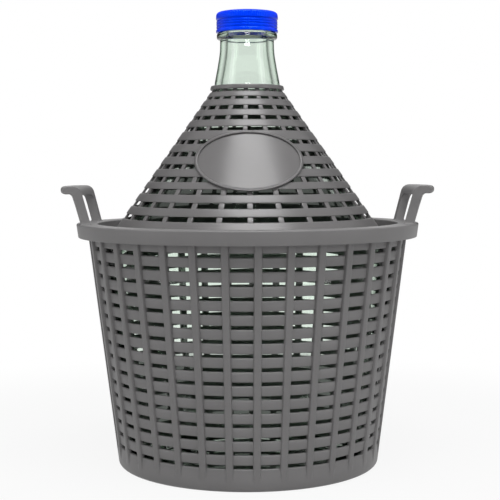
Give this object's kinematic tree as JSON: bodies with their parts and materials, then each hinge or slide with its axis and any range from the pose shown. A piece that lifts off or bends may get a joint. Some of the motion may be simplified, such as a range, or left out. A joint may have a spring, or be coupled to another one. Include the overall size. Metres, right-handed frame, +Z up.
{
  "type": "demijohn",
  "caption": "Glass demijohn in a slotted grey plastic basket with two end handles, a slotted cone cover with a bare oval plaque, an inner stopper and a blue screw cap",
  "frame": {"origin": "middle of the basket's foot, on the floor", "axes": "+Z up along the bottle's axis, -Y to the front where the plaque is, +X to the right-hand handle seen from the front"},
  "size_m": [0.3698, 0.34, 0.4497],
  "materials": {
    "basket_plastic": "satin moulded dark grey polyethylene",
    "cover_plastic": "satin moulded dark grey polyethylene with a soft sheen",
    "bottle_glass": "clear glass with a pale green tint",
    "stopper_plastic": "natural white moulded polyethylene",
    "liner_foam": "white closed-cell foam",
    "cap_plastic": "glossy saturated blue moulded plastic"
  },
  "bodies": {
    "basket": {"basket": "basket_plastic"},
    "bottle": {"glass_bottle": "bottle_glass"},
    "cover": {"cone_cover": "cover_plastic"},
    "stopper": {"inner_stopper": "stopper_plastic"},
    "liner": {"cap_liner": "liner_foam"},
    "cap": {"screw_cap": "cap_plastic"}
  },
  "joints": [
    {"name": "bottle_lift", "type": "slide", "parent": "basket", "child": "bottle", "axis": [0, 0, 1], "range_m": [0, 0.25]},
    {"name": "cover_lift", "type": "slide", "parent": "bottle", "child": "cover", "axis": [0, 0, 1], "range_m": [0, 0.235]},
    {"name": "stopper_pull", "type": "slide", "parent": "bottle", "child": "stopper", "axis": [0, 0, 1], "range_m": [0, 0.06]},
    {"name": "cap_rise", "type": "slide", "parent": "stopper", "child": "liner", "axis": [0, 0, 1], "range_m": [0, 0.0091]},
    {"name": "cap_turn", "type": "hinge", "parent": "liner", "child": "cap", "pos_m": [0, 0, 0.44], "axis": [0, 0, 1], "range_deg": [0, 540]}
  ],
  "couplings": [
    {"joint": "cap_rise", "follows": "cap_turn", "m_per_rad": 0.00095493}
  ]
}
